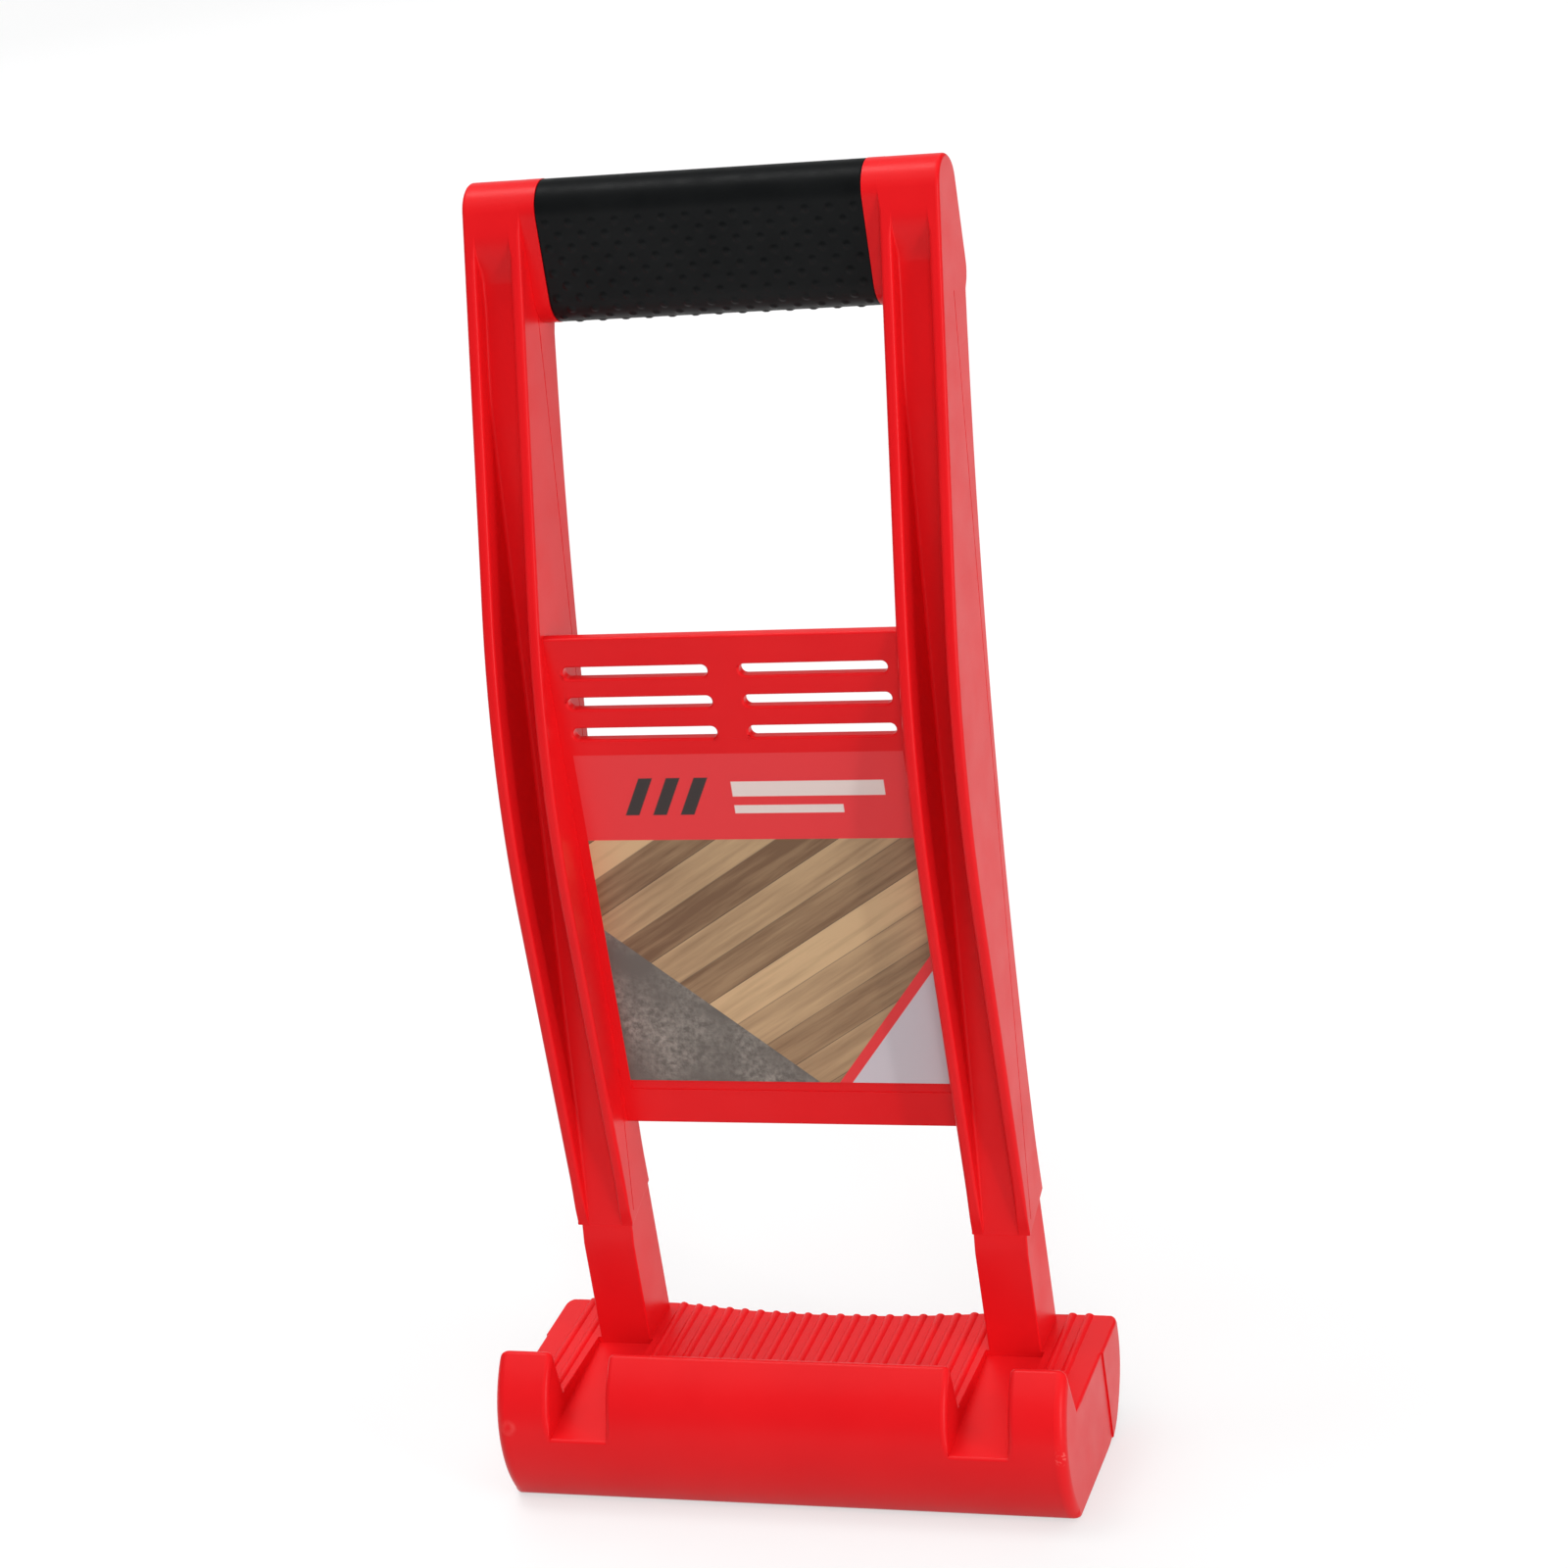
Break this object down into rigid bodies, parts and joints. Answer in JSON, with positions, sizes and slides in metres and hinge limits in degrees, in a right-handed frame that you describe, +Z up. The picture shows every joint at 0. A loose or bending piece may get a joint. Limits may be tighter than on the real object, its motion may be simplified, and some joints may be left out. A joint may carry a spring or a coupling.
{
  "type": "panel carrier",
  "caption": "One-hand carrier for boards and sheets: padded top handle, bowed side rails, slotted cross plate and a ridged foot with a raised front lip.",
  "frame": {"origin": "middle of the carrier's plan box, in the plane of the foot's underside", "axes": "+Z up to the handle, -Y to the lip, X across the two rails with X = 0 as the plane of symmetry"},
  "size_m": [0.16, 0.1024, 0.3432],
  "materials": {
    "red_plastic": "satin moulded ABS",
    "grip_rubber": "matt moulded rubber",
    "label_print": "printed and laminated"
  },
  "bodies": {
    "root": {"left_rail": "red_plastic", "right_rail": "red_plastic", "left_post": "red_plastic", "right_post": "red_plastic", "handle_bar": "red_plastic", "cross_plate": "red_plastic", "foot_tread": "red_plastic", "front_lip": "red_plastic", "foot_floor": "red_plastic", "left_end_wall": "red_plastic", "right_end_wall": "red_plastic", "foot_ribs": "red_plastic", "grip_sleeve": "grip_rubber", "label": "label_print"}
  },
  "joints": []
}
